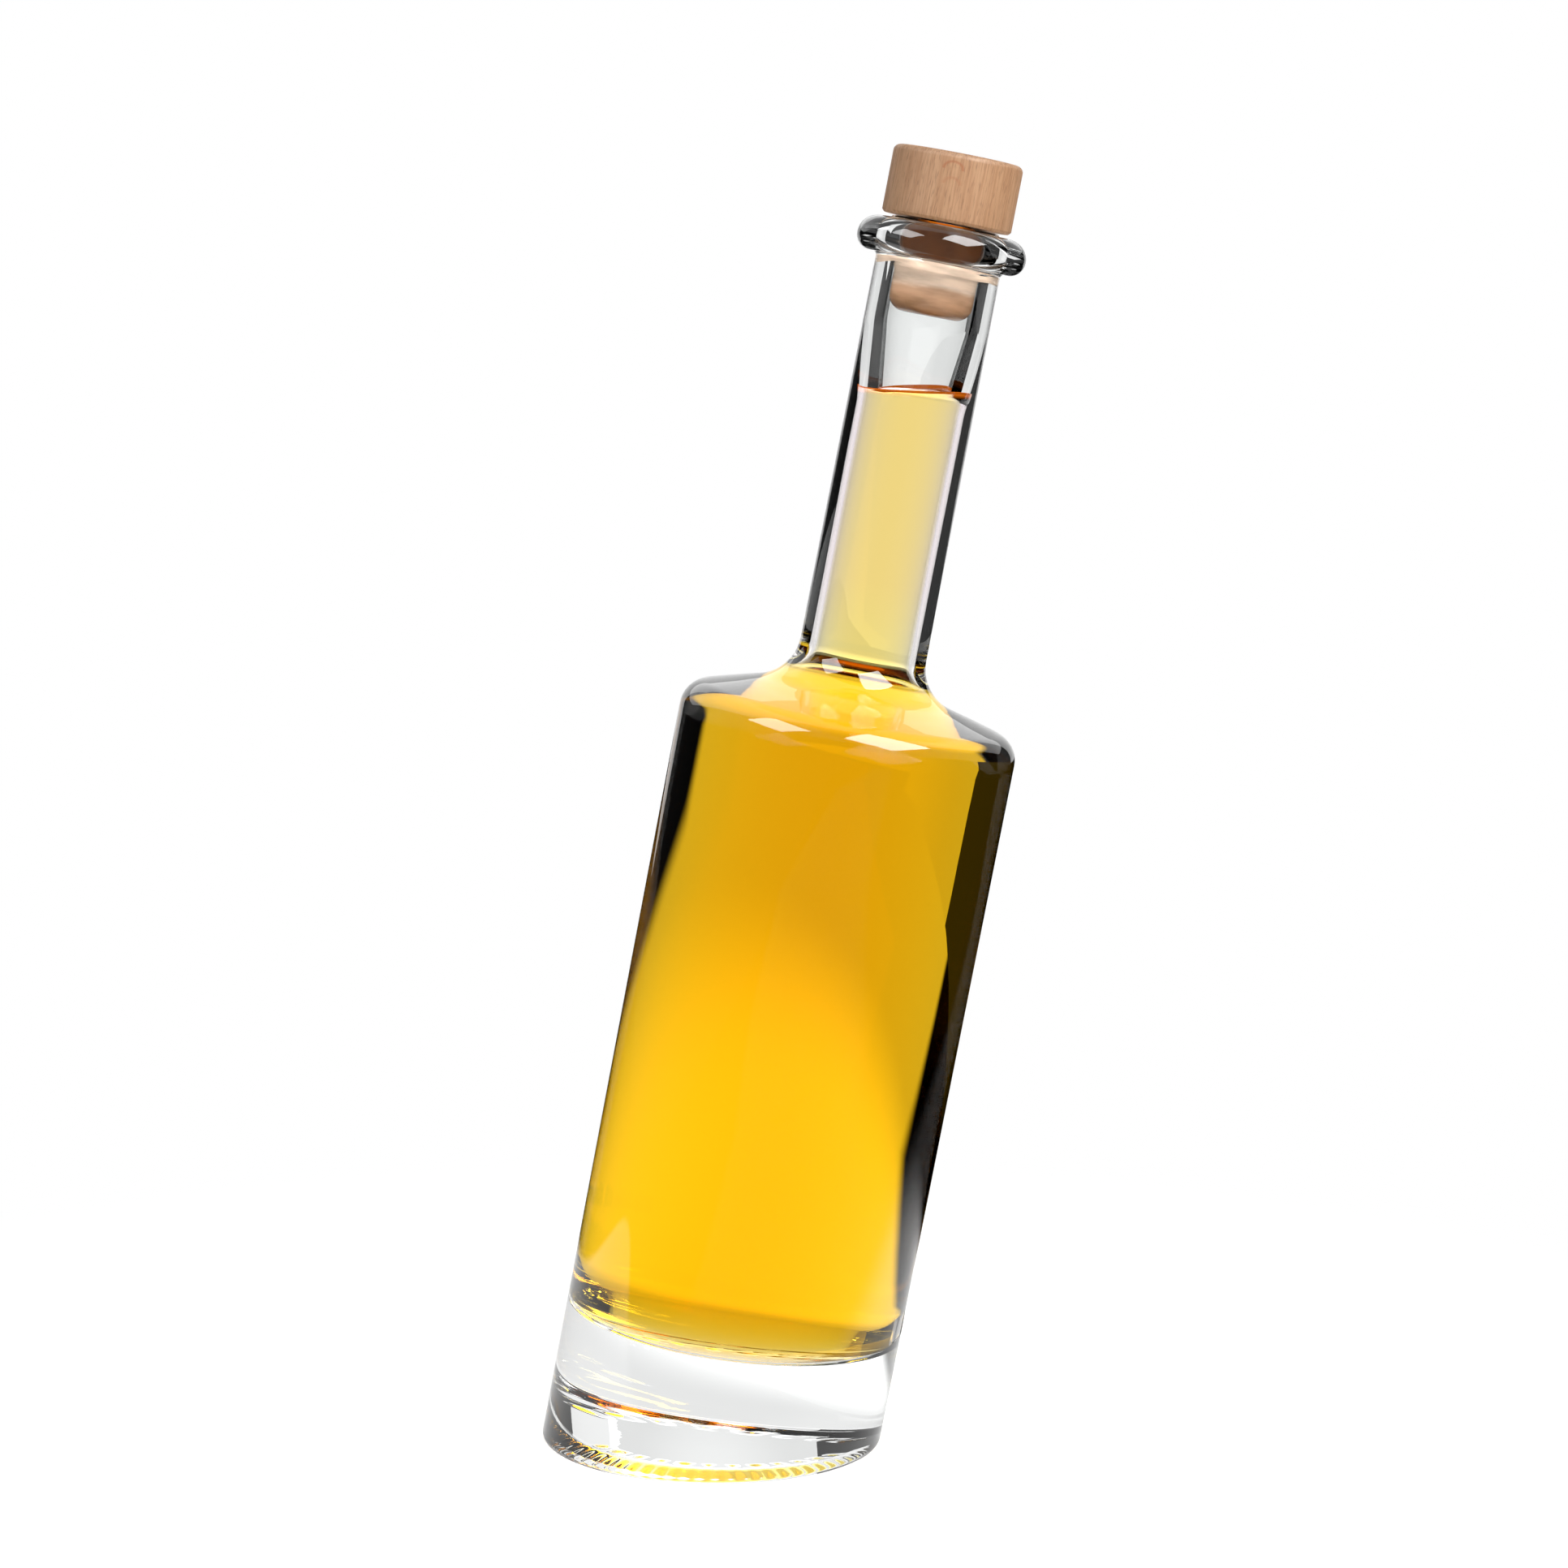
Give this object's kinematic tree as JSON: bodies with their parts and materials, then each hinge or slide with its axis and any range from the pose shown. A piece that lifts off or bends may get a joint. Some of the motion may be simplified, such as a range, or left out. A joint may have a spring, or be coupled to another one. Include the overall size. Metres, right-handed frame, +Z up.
{
  "type": "glass bottle",
  "caption": "Leaning round glass bottle on a thick slanted base, with a long ringed neck, golden liquid and a wooden T-stopper that pulls out.",
  "frame": {"origin": "middle of the part's own box, on the surface that the bottle stands on", "axes": "+Z up; the bottle leans towards +X in the plane Y = 0, and its foot lies level at Z = 0"},
  "size_m": [0.1038, 0.076, 0.2926],
  "materials": {
    "clear_glass": "clear, smooth, polished by the mould",
    "golden_liquid": "clear golden-yellow liquid",
    "beech_wood": "turned beech, sanded, fine vertical flecks",
    "tan_shaft": "smooth tan, satin"
  },
  "bodies": {
    "bottle": {"glass_bottle": "clear_glass", "liquid_fill": "golden_liquid"},
    "stopper": {"stopper_head": "beech_wood", "stopper_shaft": "tan_shaft"}
  },
  "joints": [
    {"name": "stopper_pull", "type": "slide", "parent": "bottle", "child": "stopper", "axis": [0.1702, 0, 0.9854], "range_m": [0, 0.045]}
  ]
}
